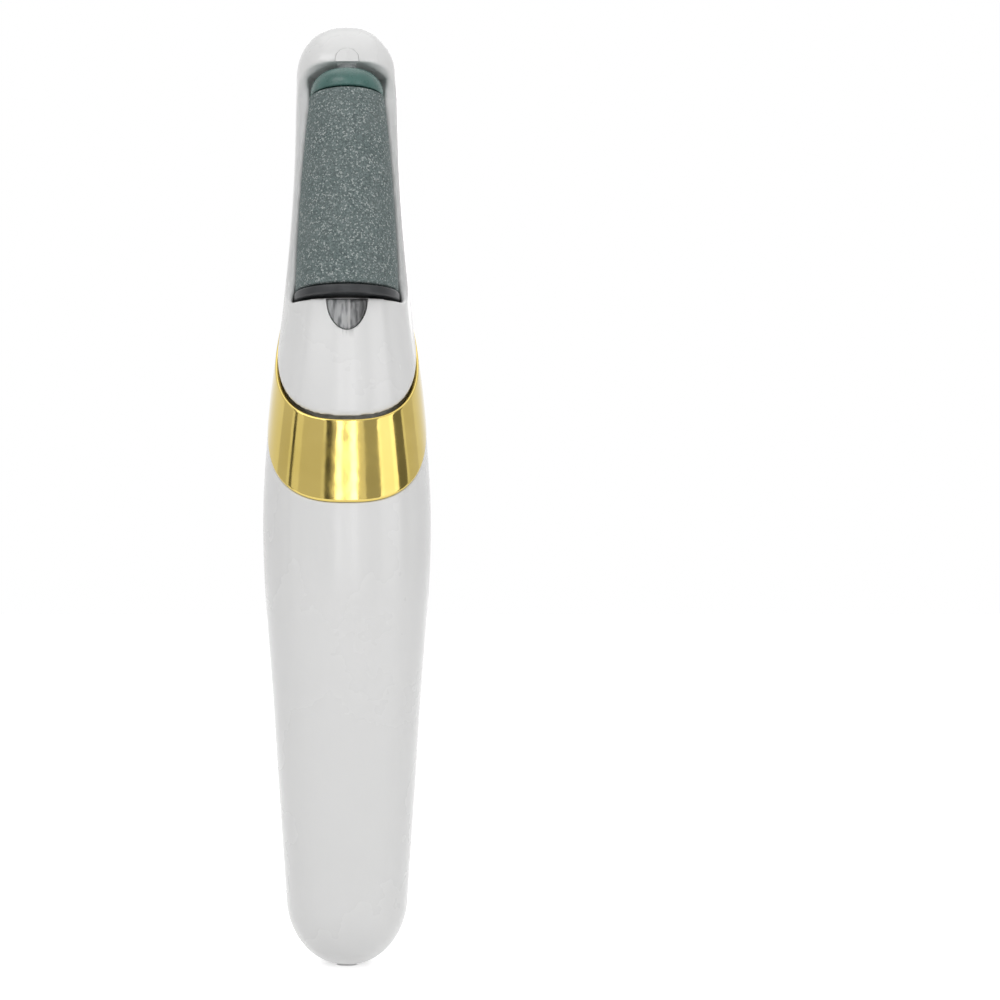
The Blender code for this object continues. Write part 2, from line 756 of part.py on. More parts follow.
def seat_outline(extra):
    """The half-round pin seat, flat side down on the trough's top wall."""
    half, height = 0.00215 + extra, 0.0027 + extra
    low = TROUGH_LENGTH - extra
    straight = height - half
    arc = [
        (half * math.cos(a), low + straight + extra + half * math.sin(a)) for a in np.linspace(0, math.pi, 13)
    ]
    return [(half, low)] + arc + [(-half, low)]


def make_head():
    low = FLOOR_Z + RING_TOP[0] - 0.006
    head = body_loft("head_housing", low, BODY_LENGTH, 0.0, "white_shell")
    core = body_loft("head_core", low - 0.002, NOSE_Z - 0.001, WALL)
    boolean(core, trough_cutter("trough_wall", WALL - GAP, -FLOOR_THICK, TROUGH_LENGTH + 0.01))
    boolean(head, core)
    boolean(head, beyond_plane("head_end", RING_TOP, GAP / 2, False))
    boolean(head, trough_cutter("trough", 0.0, 0.0, TROUGH_LENGTH))
    boolean(head, scoop_cutter())
    boolean(head, around("bush_hole", 0.0030 + GAP / 3, 0, 0, -FLOOR_THICK - 0.002, 0.002, ROLLER_AXIS))
    boolean(head, flat_piece("lens_hole", [lens_outline(GAP / 2)], 0.0075, 0.03, turn=ALONG_Y))
    seat_back = -0.0022
    boolean(
        head,
        flat_piece("seat_pocket", [seat_outline(GAP / 2)], seat_back - GAP / 2, 0.02, parent=ROLLER_AXIS, turn=ALONG_Y),
    )

    seat = body_loft("pin_seat", NOSE_Z - 0.004, BODY_LENGTH, 0.0, "white_shell")
    boolean(
        seat,
        flat_piece("seat_form", [seat_outline(0.0)], seat_back, 0.02, parent=ROLLER_AXIS, turn=ALONG_Y),
        "INTERSECT",
    )
    boolean(
        seat,
        around("pin_hole", PIN_R + RUN, 0, 0, TROUGH_LENGTH - 0.002, TROUGH_LENGTH + PIN_SOCKET + GAP, ROLLER_AXIS),
    )

    lens = body_loft("led_lens", FLOOR_Z - 0.012, FLOOR_Z + 0.006, 0.0001, "clear")
    boolean(lens, body_loft("lens_back", FLOOR_Z - 0.014, FLOOR_Z + 0.008, WALL + 0.0001))
    boolean(lens, flat_piece("lens_form", [lens_outline(-GAP / 2)], 0.0075, 0.03, turn=ALONG_Y), "INTERSECT")


def half_side(name, front):
    sign = -1 if front else 1
    low, high = sorted((sign * GAP / 2, sign * FAR))
    return box(name, (-FAR, low, -FAR), (FAR, high, BODY_LENGTH))


def make_handle():
    recess = oblong(SLIDER_HALF_WIDTH + GAP, SLIDER_LOW - GAP, SLIDER_TOP + SLIDER_TRAVEL + GAP)
    pad = oblong(SLIDER_HALF_WIDTH + 0.0018, SLIDER_LOW - 0.0018, SLIDER_TOP + SLIDER_TRAVEL + 0.0018)
    past = STEM_HALF + 3 * GAP  # room for the square stem in the slot's round ends
    slot = oblong(STEM_HALF + GAP, STEM_Z - past, STEM_Z + past + SLIDER_TRAVEL, 5)
    for name, front in (("handle_front", True), ("handle_back", False)):
        shell = body_loft(name, 0.0, FLOOR_Z + 0.004, 0.0, "white_shell")
        inside = body_loft(f"{name}_inside", WALL, FLOOR_Z + 0.006, WALL)
        if not front:
            boolean(inside, flat_piece("pad", [pad], -0.03, -PAD_Y, turn=ALONG_Y))
        boolean(shell, inside)
        boolean(shell, beyond_plane(f"{name}_end", RING_LOW, -GAP / 2, True))
        boolean(shell, half_side(f"{name}_side", front), "INTERSECT")
        if not front:
            boolean(shell, flat_piece("recess", [recess], -0.03, -RECESS_Y, turn=ALONG_Y))
            boolean(shell, flat_piece("stem_slot", [slot], -0.03, -0.008, turn=ALONG_Y))
        x, y = SOCKET_HALF
        boolean(shell, box(f"{name}_socket_hole", (-x - GAP, -y - GAP, -0.01), (x + GAP, y + GAP, 0.006)))


def make_switch():
    face = oblong(SLIDER_HALF_WIDTH, SLIDER_LOW, SLIDER_TOP)
    slider = flat_piece("switch_slider", [face], -SLIDER_Y[1], -SLIDER_Y[0], "pale_gold", turn=ALONG_Y)
    half = 0.0018
    bump = [
        (SLIDER_Y[0] + 0.0003 + (RIDGE_Y - SLIDER_Y[0] - 0.0003) * math.sin(a), STEM_Z + half * math.cos(a))
        for a in np.linspace(0, math.pi, 9)
    ]
    boolean(slider, flat_piece("ridge", [bump], -0.0026, 0.0026, turn=ALONG_X), "UNION")

    low, high = KNOB_Z - 0.0030, STEM_Z + 0.0035
    carrier = box(
        "switch_carrier", (-0.0028, BOARD_Y[1] + 0.0018, low), (0.0028, PAD_Y - GAP, high), "grey_plastic",
    )
    stem = box(
        "stem", (-STEM_HALF, PAD_Y - 0.001, STEM_Z - STEM_HALF), (STEM_HALF, RECESS_Y, STEM_Z + STEM_HALF),
    )
    boolean(carrier, stem, "UNION")
    window = box("window", (-0.0013, 0.005, KNOB_Z - 0.0013), (0.0013, 0.015, KNOB_Z + 0.0013))
    boolean(carrier, window)
    box(
        "switch_knob",
        (-0.0010, BOARD_Y[1] + 0.0018, KNOB_Z - 0.0010),
        (0.0010, PAD_Y - GAP, KNOB_Z + 0.0010),
        "dark_plastic",
    )
    box(
        "slide_switch", (-0.0032, BOARD_Y[1] + GAP, KNOB_Z - 0.004), (
            0.0032, BOARD_Y[1] + 0.0015, KNOB_Z + 0.0100,
        ),
        "steel",
    )


def make_power():
    rod("battery_cell", CELL_R, CELL_LOW, CELL_TOP, "cell_wrap", None, at(0, CELL_Y, 0), steps=36)
    cradle = rod(
        "battery_cradle",
        CELL_R + 0.0013,
        CELL_LOW + 0.004,
        CELL_TOP - 0.004,
        "grey_plastic",
        None,
        at(0, CELL_Y, 0),
        CELL_R + GAP,
        36,
    )
    boolean(cradle, box("cradle_front", (-0.02, -0.03, -FAR), (0.02, CELL_Y - 0.001, 0.2)))
    for name, z in (("battery_tab_low", CELL_LOW - 0.0007), ("battery_tab_top", CELL_TOP + 0.0004)):
        box(name, (-0.0025, CELL_Y - 0.004, z), (0.0025, CELL_Y + 0.004, z + 0.0003), "steel")
    box(
        "main_board",
        (-0.0055, BOARD_Y[0], CELL_LOW + 0.0035),
        (0.0055, BOARD_Y[1], CELL_TOP + 0.007),
        "board",
    )

    x, y = SOCKET_HALF
    socket_low = PORT_DEPTH + GAP
    socket = box("charge_socket", (-x, -y, socket_low), (x, y, socket_low + 0.0055), "steel")
    boolean(
        socket,
        box("socket_mouth", (-x + 0.0004, -y + 0.0004, -0.01), (x - 0.0004, y - 0.0004, socket_low + 0.005)),
    )
    tongue = box(
        "socket_tongue", (-0.0015, -0.0003, socket_low + 0.0012), (0.0015, 0.0003, socket_low + 0.0053),
    )
    boolean(socket, tongue, "UNION")
    box(
        "charge_board",
        (-0.0060, y + GAP, socket_low + 0.0030),
        (0.0060, y + GAP + 0.0010, CELL_LOW - 0.002),
        "board",
    )


def make_light():
    y = station_values(FLOOR_Z - 0.0025)[1] + WALL
    box("led_board", (-0.0030, y + 0.0010, FLOOR_Z - 0.0072), (0.0030, y + 0.0016, FLOOR_Z - 0.0024), "board")
    box("led_chip", (-0.0009, y + 0.0004, FLOOR_Z - 0.0045), (0.0009, y + 0.0007, FLOOR_Z - 0.0029), "clear")


def lead(name, start, end, bow, finish):
    """A short wire bowed sideways between two points, as one arch."""
    share = np.linspace(0, 1, 9)
    start, end, bow = np.array(start), np.array(end), np.array(bow)
    points = [start + (end - start) * s + bow * math.sin(math.pi * s) for s in share]
    wire(name, [tuple(p) for p in points], 0.0004, finish)


def make_leads():
    bpy.context.view_layer.update()
    tail = -GEARBOX_HEIGHT - MOTOR_LENGTH - END_CAP_LENGTH - 0.0034
    board_top = CELL_TOP + 0.0060
    for i, x in enumerate((-0.0045, 0.0045), 1):
        foot = MOTOR_AXIS.matrix_world @ Matrix.Translation((x, 0, tail)).to_translation()
        end = (x, BOARD_Y[0] - 0.0009, board_top)
        lead(f"motor_lead_{i}", tuple(foot), end, (0, 0, -0.0012), "copper")
    lead(
        "cell_lead_top",
        (0, CELL_Y + 0.003, CELL_TOP + 0.0013),
        (0, BOARD_Y[0] - 0.0009, CELL_TOP + 0.003),
        (0, 0, 0.001),
        "copper",
    )
    start = (0, CELL_Y + CELL_R - 0.002, CELL_LOW - 0.0013)
    lead("cell_lead_low", start, (0, BOARD_Y[0] - 0.0007, CELL_LOW + 0.0028), (0, 0.0014, -0.0012), "copper")


make_handle()
slanted_ring("gold_band", -RING_PROUD, WALL, GAP / 2, -GAP / 2, "gold")
slanted_ring("neck_ring", WALL + GAP, NECK_WALL, -0.005, 0.0024, "grey_plastic")
make_head()
make_roller()
make_gears()
make_gear_frame()
make_spindle()
make_motor()
make_switch()
make_power()
make_light()
make_leads()
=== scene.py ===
import json
import math

import bmesh
import bpy
import numpy as np
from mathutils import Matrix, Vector


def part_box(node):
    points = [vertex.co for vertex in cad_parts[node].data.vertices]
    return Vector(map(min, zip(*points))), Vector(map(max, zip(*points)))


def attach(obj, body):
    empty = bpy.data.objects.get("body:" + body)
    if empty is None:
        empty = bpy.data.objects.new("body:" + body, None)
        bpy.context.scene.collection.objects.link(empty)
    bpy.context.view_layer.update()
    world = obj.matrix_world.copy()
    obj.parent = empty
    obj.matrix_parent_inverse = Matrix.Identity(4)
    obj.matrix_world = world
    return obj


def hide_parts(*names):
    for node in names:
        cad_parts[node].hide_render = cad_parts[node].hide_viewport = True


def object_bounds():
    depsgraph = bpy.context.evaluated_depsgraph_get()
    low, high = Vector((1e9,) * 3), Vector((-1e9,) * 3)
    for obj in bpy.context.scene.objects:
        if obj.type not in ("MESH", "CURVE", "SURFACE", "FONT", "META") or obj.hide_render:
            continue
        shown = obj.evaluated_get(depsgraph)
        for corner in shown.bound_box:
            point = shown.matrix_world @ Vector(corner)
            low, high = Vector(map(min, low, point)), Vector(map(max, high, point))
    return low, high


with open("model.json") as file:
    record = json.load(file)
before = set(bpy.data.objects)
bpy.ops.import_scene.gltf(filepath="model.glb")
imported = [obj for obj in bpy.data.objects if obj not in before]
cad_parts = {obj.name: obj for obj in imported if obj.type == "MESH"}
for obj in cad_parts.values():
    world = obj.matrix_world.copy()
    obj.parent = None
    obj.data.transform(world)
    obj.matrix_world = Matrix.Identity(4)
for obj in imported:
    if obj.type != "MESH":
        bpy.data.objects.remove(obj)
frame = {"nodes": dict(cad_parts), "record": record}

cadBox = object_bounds()
topZ = float(cadBox[1][2])
print("frame loaded", len(frame["nodes"]), "nodes")

# Places read from the frame: the roller's axis and the trough floor
joints = {joint["name"]: joint for joint in frame["record"]["behaviour"]["joints"]}
rollerFoot = np.array(joints["roller_spin"]["pos_m"])
rollerUp = np.array(joints["roller_spin"]["axis"])
rollerUp = rollerUp / np.linalg.norm(rollerUp)
rollerSide = np.array((1.0, 0.0, 0.0))
rollerBack = np.cross(rollerUp, rollerSide)
floorZ = float(rollerFoot[2])
noseZ = floorZ + 0.0449


def newObject(name, mesh):
    obj = bpy.data.objects.new(name, mesh)
    bpy.context.scene.collection.objects.link(obj)
    return obj


def quadIndex(rows, columns, closedAround):
    # four corner numbers for every cell of a rows by columns grid
    grid = np.arange(rows * columns).reshape(rows, columns)
    if closedAround:
        grid = np.concatenate((grid, grid[:, :1]), axis=1)
    return np.stack((grid[:-1, :-1], grid[:-1, 1:], grid[1:, 1:], grid[1:, :-1]), axis=-1).reshape(-1, 4)


def gridMesh(name, points, closedAround=True, capLow=False, capTop=False):
    # points is rows by columns by 3; quads join each row to the next
    rows, columns = points.shape[:2]
    faces = quadIndex(rows, columns, closedAround).tolist()
    if capLow:
        faces.append(list(range(columns))[::-1])
    if capTop:
        faces.append([(rows - 1) * columns + i for i in range(columns)])
    mesh = bpy.data.meshes.new(name)
    mesh.from_pydata(points.reshape(-1, 3), [], faces)
    mesh.shade_smooth()
    mesh.update()
    return mesh


def turnedPoints(radii, heights, columns):
    # a profile of radius and height carried round the roller's axis
    angle = np.linspace(0, 2 * np.pi, columns, endpoint=False)
    radii, heights = np.asarray(radii, float), np.asarray(heights, float)
    across = radii[:, None, None] * (
        np.cos(angle)[None, :, None] * rollerSide + np.sin(angle)[None, :, None] * rollerBack
    )
    return rollerFoot + across + heights[:, None, None] * rollerUp


def applied(obj):
    # the evaluated mesh in place of the modifiers
    graph = bpy.context.evaluated_depsgraph_get()
    mesh = bpy.data.meshes.new_from_object(obj.evaluated_get(graph))
    obj.modifiers.clear()
    obj.data = mesh
    return obj


def cutBy(obj, tool, operation="DIFFERENCE"):
    made = obj.modifiers.new(tool.name, "BOOLEAN")
    made.operation, made.object, made.solver = operation, tool, "EXACT"
    applied(obj)
    bpy.data.objects.remove(tool, do_unlink=True)


def smoothStep(low, high, value):
    # 0 below low, 1 above high, and an S curve between
    t = np.clip((value - low) / (high - low), 0, 1)
    return t * t * (3 - 2 * t)


def finish(obj, material, body, *nodes, slotName=None):
    obj.data.materials.clear()
    obj.data.materials.append(material)
    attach(obj, body)
    if nodes:
        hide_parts(*nodes)
    return obj


bodyForm = {
    "baseRound": 0.012,
    "noseHeight": topZ - noseZ,
    "endFlat": 0.22,
    "frontPower": 2.7,
    "backPower": 2.1,
    "wall": 0.0018,
}
rollerForm = {
    "low": 0.0096, "top": 0.0070, "bulge": 0.0004,
    "gap": 0.0005, "foot": 0.0005, "sleeveTop": 0.0389,
}


def rollerRadius(along):
    # a straight taper plus a shallow parabola
    form = rollerForm
    return form["low"] + (form["top"] - form["low"]) * along + 4 * form["bulge"] * along * (1 - along)


# height, half width, front depth, back depth, where the section is widest
stations = np.array([
    (0.0, 0.0105, -0.0102, 0.0104, 0.0),
    (0.012, 0.0113, -0.0108, 0.0110, 0.0),
    (0.045, 0.0135, -0.0126, 0.0129, 0.0),
    (floorZ - 0.035, 0.0156, -0.0142, 0.0143, 0.0005),
    (floorZ - 0.018, 0.0144, -0.0137, 0.0143, 0.0030),
    (floorZ, rollerForm["low"] + 0.0026, -0.0112, 0.0141, 0.0048),
    (floorZ + 0.02245, rollerRadius(0.5) + 0.0016, -0.0080, 0.0131, 0.0058),
    (noseZ, rollerForm["top"] + 0.0026, -0.0048, 0.0116, 0.0054),
    (topZ, rollerForm["top"] + 0.0023, -0.0036, 0.0110, 0.0052),
])


def stationValues(z):
    # a cubic through the stations, each slope taken from its two neighbours
    heights, values = stations[:, 0], stations[:, 1:]
    slopes = np.gradient(values, heights, axis=0)
    i = np.clip(np.searchsorted(heights, z) - 1, 0, len(heights) - 2)
    span = (heights[i + 1] - heights[i])[..., None]
    t = ((z - heights[i]) / (heights[i + 1] - heights[i]))[..., None]
    return (
        (2 * t**3 - 3 * t**2 + 1) * values[i] + (t**3 - 2 * t**2 + t) * span * slopes[i]
        + (3 * t**2 - 2 * t**3) * values[i + 1] + (t**3 - t**2) * span * slopes[i + 1]
    )


def bodyPoint(z, angle, inset=0.0):
    # a superellipse at each height, drawn in towards the two round ends
    form = bodyForm
    low = (form["baseRound"] - z) / (form["baseRound"] - inset)
    high = (z - noseZ) / (form["noseHeight"] - inset)
    t = np.clip(np.maximum(low, high), 0, 1)
    factor = np.maximum(np.sqrt(1 - t * t), form["endFlat"])
    half, front, back, widest = np.moveaxis(stationValues(z), -1, 0)
    across, deep = np.cos(angle), np.sin(angle)
    power = 2 / np.where(deep < 0, form["frontPower"], form["backPower"])
    reach = np.where(deep < 0, widest - front, back - widest) - inset
    x = (half - inset) * factor * np.sign(across) * np.abs(across) ** power
    y = widest + reach * factor * np.sign(deep) * np.abs(deep) ** power
    return np.stack((x, y, z + 0 * x), axis=-1)


ringPlanes = {"low": (-0.0364, -0.0026), "top": (-0.0216, 0.0062), "frontY": -0.0142, "depth": 0.0285}


def planeHeight(which, shift, y):
    # height of a slanted plane through its front and back points
    front, back = ringPlanes[which]
    return floorZ + shift + front + (back - front) / ringPlanes["depth"] * (y - ringPlanes["frontY"])


def planeCrossing(which, shift, angle, inset=0.0):
    # where each line up the body meets the plane: the height that agrees with its own depth
    z = np.full_like(angle, planeHeight(which, shift, 0.0))
    for _ in range(60):
        z = 0.5 * z + 0.5 * planeHeight(which, shift, bodyPoint(z, angle, inset)[..., 1])
    return z


def evenAngles(start, end, count, z):
    # angles whose points on the section at height z lie at even spacing
    fine = np.linspace(start, end, 4000)
    points = bodyPoint(np.full_like(fine, z), fine)
    steps = np.linalg.norm(np.diff(points, axis=0), axis=1)
    length = np.concatenate(([0], np.cumsum(steps)))
    return np.interp(np.linspace(0, length[-1], count), length, fine)


handleShape = {
    "columns": 170, "lowRows": 70, "highRows": 150,
    "seam": 0.00003, "edge": 0.00035, "levelZ": 0.076, "wall": 0.0008,
}
socketShape = {"half": 0.0040, "deep": 0.0016, "corner": 0.0012, "top": 0.006}
recessShape = {"halfWidth": 0.00325, "low": 0.0812, "top": 0.1098, "floorY": 0.01252, "flare": 0.0011}
handleGap = 0.00012


def oblongDistance(x, z, halfWidth, low, top):
    # distance outside an upright slot with round ends, negative inside
    middle = np.clip(z, low + halfWidth, top - halfWidth)
    return np.hypot(x, z - middle) - halfWidth


def seamAngle(z, depth):
    # the angle on the right-hand side where the section at height z reaches this depth
    form = bodyForm
    factor = np.sqrt(1 - np.clip((form["baseRound"] - z) / form["baseRound"], 0, 1) ** 2)
    factor = np.maximum(factor, form["endFlat"])
    _, front, back, widest = np.moveaxis(stationValues(z), -1, 0)
    past = depth - widest
    reach = np.where(past < 0, widest - front, back - widest) * factor
    power = np.where(past < 0, form["frontPower"], form["backPower"])
    return np.sign(past) * np.arcsin(np.clip(np.abs(past) / reach, 0, 1) ** (power / 2))


def spreadAngles(z, share, isBack):
    # angles from one seam to the other, at each place's own height
    edge = seamAngle(z, handleShape["seam"] if isBack else -handleShape["seam"])
    if isBack:
        return edge + (math.pi - 2 * edge) * share
    return -math.pi - edge + (math.pi + 2 * edge) * share


def outwardIsIn(obj):
    # an open shell's normals may point at the axis after welding
    total = 0.0
    for face in obj.data.polygons:
        total += (face.center.x * face.normal.x + face.center.y * face.normal.y) * face.area
    return total < 0


def socketCutter():
    # a round-cornered opening through the end, the same shape as the socket in it
    turn = np.linspace(0, 2 * np.pi, 65)[:-1]
    half, deep, corner = socketShape["half"], socketShape["deep"], socketShape["corner"]
    x = np.sign(np.cos(turn)) * (half - corner) + corner * np.cos(turn)
    y = np.sign(np.sin(turn)) * (deep - corner) + corner * np.sin(turn)
    height = np.array((-0.01, socketShape["top"]))[:, None]
    return sweptCutter("socket", np.stack(np.broadcast_arrays(x, y, height), axis=-1))


def makeHandle(name, node, start, end, material):
    shape = handleShape
    angle = evenAngles(start, end, shape["columns"], 0.085)
    isBack = start >= 0
    along = (angle - start) / (end - start)
    top = planeCrossing("low", -handleGap, angle)
    for _ in range(12):
        top = planeCrossing("low", -handleGap, spreadAngles(top, along, isBack))
    turn = np.linspace(0, np.pi / 2, 26)
    roundZ = bodyForm["baseRound"] * (1 - np.cos(turn))
    straightZ = np.linspace(bodyForm["baseRound"], shape["levelZ"], shape["lowRows"])[1:]
    lowZs = np.concatenate((roundZ, straightZ))
    share = np.linspace(0, 1, shape["highRows"])[1:, None]
    highZs = shape["levelZ"] + (top[None, :] - shape["levelZ"]) * share
    z = np.concatenate((np.repeat(lowZs[:, None], len(angle), axis=1), highZs))
    points = bodyPoint(z, spreadAngles(z, along[None, :], isBack))
    centre = np.zeros_like(points)
    centre[..., 2] = points[..., 2]
    fromTop = (top[None, :] - z) / shape["edge"]
    lip = shape["edge"] * (1 - np.sqrt(1 - np.clip(1 - fromTop, 0, 1) ** 2))
    inward = -(points - centre)
    inward /= np.maximum(np.linalg.norm(inward, axis=-1, keepdims=True), 1e-6)
    points = points + inward * lip[..., None]
    if isBack:
        away = oblongDistance(
            points[..., 0], points[..., 2], recessShape["halfWidth"], recessShape["low"], recessShape["top"]
        )
        wall = 1 - smoothStep(-0.0001, 0.00035, away)  # steep side of the recess
        dish = (1 - smoothStep(0.0, recessShape["flare"], away)) * 0.00042  # soft flare round it
        deep = np.where(points[..., 1] > 0.006, 1.0, 0.0)
        target = np.minimum(points[..., 1], recessShape["floorY"])
        points[..., 1] = points[..., 1] - dish * deep
        points[..., 1] = points[..., 1] * (1 - wall * deep) + np.minimum(target, points[..., 1]) * wall * deep
        points[..., 1] = np.maximum(points[..., 1], shape["seam"])
    else:
        points[..., 1] = np.minimum(points[..., 1], -shape["seam"])
    # the end flat: one more row drawn in to the middle of the seam
    middle = points[:1].copy()
    middle[..., 0] *= 0.02
    middle[..., 1] = shape["seam"] if isBack else -shape["seam"]
    obj = newObject(name, gridMesh(name, np.concatenate((middle, points)), closedAround=False))
    weldDoubles(obj, 2e-6)
    thick = obj.modifiers.new("wall", "SOLIDIFY")
    thick.thickness, thick.offset = shape["wall"], 1 if outwardIsIn(obj) else -1
    applied(obj)
    cutBy(obj, socketCutter())
    obj.data.set_sharp_from_angle(angle=math.radians(50))
    return finish(obj, material, "root", node)


ringShape = {"columns": 300, "rows": 40, "proud": 0.0002, "edge": 0.0004}


def makeRing(material):
    shape = ringShape
    angle = evenAngles(0, 2 * math.pi, shape["columns"] + 1, floorZ - 0.02)[:-1]
    low = planeCrossing("low", handleGap, angle, -shape["proud"])
    top = planeCrossing("top", -handleGap, angle, -shape["proud"])
    share = np.linspace(0, 1, shape["rows"])
    share = (0.5 - 0.5 * np.cos(np.pi * share))[:, None]
    z = low + (top - low) * share
    fromEdge = np.minimum(z - low, top - z) / shape["edge"]
    lip = shape["edge"] * (1 - np.sqrt(1 - np.clip(1 - fromEdge, 0, 1) ** 2))
    around = np.repeat(angle[None, :], len(z), axis=0)
    outer = bodyPoint(z, around, -shape["proud"])
    inner = bodyPoint(z, around, -shape["proud"] + 0.001)
    outer = outer + (inner - outer) * (lip / 0.001)[..., None]
    inside = bodyPoint(z, around, bodyForm["wall"])[::-1]
    loop = np.concatenate((outer, inside, outer[:1]))
    obj = newObject("goldRing", gridMesh("goldRing", loop))
    weldDoubles(obj)
    return finish(obj, material, "root", "gold_band")


def weldDoubles(obj, distance=1e-6):
    work = bmesh.new()
    work.from_mesh(obj.data)
    bmesh.ops.remove_doubles(work, verts=work.verts, dist=distance)
    bmesh.ops.recalc_face_normals(work, faces=work.faces)
    work.to_mesh(obj.data)
    work.free()


hoodShape = {
    "columns": 220, "rows": 150, "voxel": 0.00030, "smooth": 4, "step": 0.0004,
    "troughLength": 0.0449, "setback": 0.0025, "scoopArc": 0.006, "floorDepth": 0.0020,
}
archShape = {"half": 0.0075, "drop": 0.0018}
seatShape = {"half": 0.00215, "height": 0.0027, "back": -0.0022, "room": 0.00006}
lensShape = {"halfWidth": 0.00365, "height": 0.0056, "top": 0.0002}


def axisPoint(x, back, up):
    # a place given across, behind and along the roller's axis
    x, back, up = np.broadcast_arrays(x, back, up)
    return rollerFoot + x[..., None] * rollerSide + back[..., None] * rollerBack + up[..., None] * rollerUp


def sweptCutter(name, rings):
    obj = newObject(name, gridMesh(name, rings, capLow=True, capTop=True))
    weldDoubles(obj)
    return obj


def troughCutter(name, extra, low, top):
    # half a cone behind the axis, with straight sides out to the front
    turn = np.linspace(0, np.pi, 65)
    heights = np.linspace(low, top, 40)
    along = np.clip((heights - rollerForm["foot"]) / (rollerForm["sleeveTop"] - rollerForm["foot"]), 0, 1)
    radius = (rollerRadius(along) + rollerForm["gap"] + extra)[:, None]
    x = np.concatenate((radius * np.cos(turn), -radius, radius), axis=1)
    back = np.concatenate((radius * np.sin(turn), -0.04 + 0 * radius, -0.04 + 0 * radius), axis=1)
    return sweptCutter(name, axisPoint(x, back, heights[:, None]))


def scoopCutter():
    # the rim is set back beside the roller, with a quarter arc at each end
    arc, reach = hoodShape["scoopArc"], hoodShape["setback"]
    turn = np.linspace(0, np.pi / 2, 20)
    length = hoodShape["troughLength"]
    lowArc, topArc = reach - arc + arc * np.sin(turn), reach - arc + arc * np.cos(turn)
    back = np.concatenate(([-0.04], lowArc, topArc, [-0.04]))
    up = np.concatenate(([0.0], arc - arc * np.cos(turn), length - arc + arc * np.sin(turn), [length]))
    sides = np.array((-0.03, 0.03))[:, None]
    return sweptCutter("scoop", axisPoint(sides, back, up))


def lensOutline(extra):
    # flat edge up, half an ellipse below
    turn = np.linspace(0, np.pi, 60)
    top = floorZ + lensShape["top"] + extra
    x = (lensShape["halfWidth"] + extra) * np.cos(turn)
    return x, top - (lensShape["height"] + 2 * extra) * np.sin(turn)


def aboveArch():
    # what lies over the trough's arched top: its corners come lower than its middle
    x = np.linspace(-0.02, 0.02, 121)
    share = np.abs(x) / archShape["half"]
    up = hoodShape["troughLength"] - archShape["drop"] * np.minimum(share, 2.0) ** 3
    x, up = np.concatenate((x, x[::-1])), np.concatenate((up, 0 * up + 0.06))
    return sweptCutter("arch", axisPoint(x, np.array((-0.06, 0.03))[:, None], up))


def hollow(low, angle):
    # the room inside the hood, less the wall behind the trough
    wall = bodyForm["wall"]
    share = np.linspace(0, 1, 60)[:, None]
    z = low - 0.003 + (noseZ - 0.001 - low + 0.003) * share
    inside = sweptCutter("inside", bodyPoint(z, np.repeat(angle[None, :], len(z), axis=0), wall))
    cutBy(inside, troughCutter("wallBehind", wall - 0.0003, -hoodShape["floorDepth"], 0.054))
    return inside


def makeHood(material):
    shape = hoodShape
    angle = evenAngles(0, 2 * math.pi, shape["columns"] + 1, floorZ + 0.01)[:-1]
    low = planeCrossing("top", handleGap, angle)
    share = np.linspace(0, 1, shape["rows"])[:, None]
    straight = low + (noseZ - low) * share
    turn = np.linspace(0, np.pi / 2, 40)[1:, None]
    z = np.concatenate((straight, noseZ + bodyForm["noseHeight"] * np.sin(turn) + 0 * low))
    around = np.repeat(angle[None, :], len(z), axis=0)
    stepIn = shape["step"] * (1 - smoothStep(0.0, 0.0011, z - low))  # dark line above the ring
    points = bodyPoint(z, around)
    inner = bodyPoint(z, around, 0.001)
    points = points + (inner - points) * (stepIn / 0.001)[..., None]
    obj = newObject("hood", gridMesh("hood", points, capLow=True, capTop=True))
    cutBy(obj, hollow(low, angle))
    trough = troughCutter("trough", 0.0, 0.0, shape["troughLength"])
    cutBy(trough, aboveArch())
    cutBy(obj, trough)
    cutBy(obj, scoopCutter())
    soften = obj.modifiers.new("round", "REMESH")
    soften.mode, soften.voxel_size, soften.use_smooth_shade = "VOXEL", shape["voxel"], True
    ease = obj.modifiers.new("ease", "SMOOTH")
    ease.factor, ease.iterations = 0.5, shape["smooth"]
    applied(obj)
    thin = obj.modifiers.new("thin", "DECIMATE")
    thin.ratio = 0.5
    applied(obj)
    obj.data.shade_smooth()
    x, height = lensOutline(0.00012)
    sides = np.array((-0.03, -0.0090))[:, None]
    ring = np.stack(np.broadcast_arrays(x, sides, height), axis=-1)
    cutBy(obj, sweptCutter("lensHole", ring))
    cutBy(obj, sweptCutter("bushHole", turnedPoints((0.0031, 0.0031), (-0.004, 0.0010), 64)))
    cutBy(obj, seatCutter())
    return finish(obj, material, "root", "head_housing")


def seatCutter():
    # half-round pocket in the nose's front edge for the pin's seat
    turn = np.linspace(0, np.pi, 40)
    half = seatShape["half"] + seatShape["room"]
    low = hoodShape["troughLength"] - 0.00015
    arc = low + seatShape["height"] - seatShape["half"] + seatShape["room"] + half * np.sin(turn)
    up = np.concatenate(([low], arc, [low]))
    x = np.concatenate(([half], half * np.cos(turn), [-half]))
    back = np.array((seatShape["back"] - 0.00015, -0.02))[:, None]
    return sweptCutter("seatPocket", axisPoint(x, back, up))


sleeveShape = {"columns": 400, "rows": 240, "low": 0.0024, "edge": 0.00035, "grain": 0.00007, "bore": 0.0053}


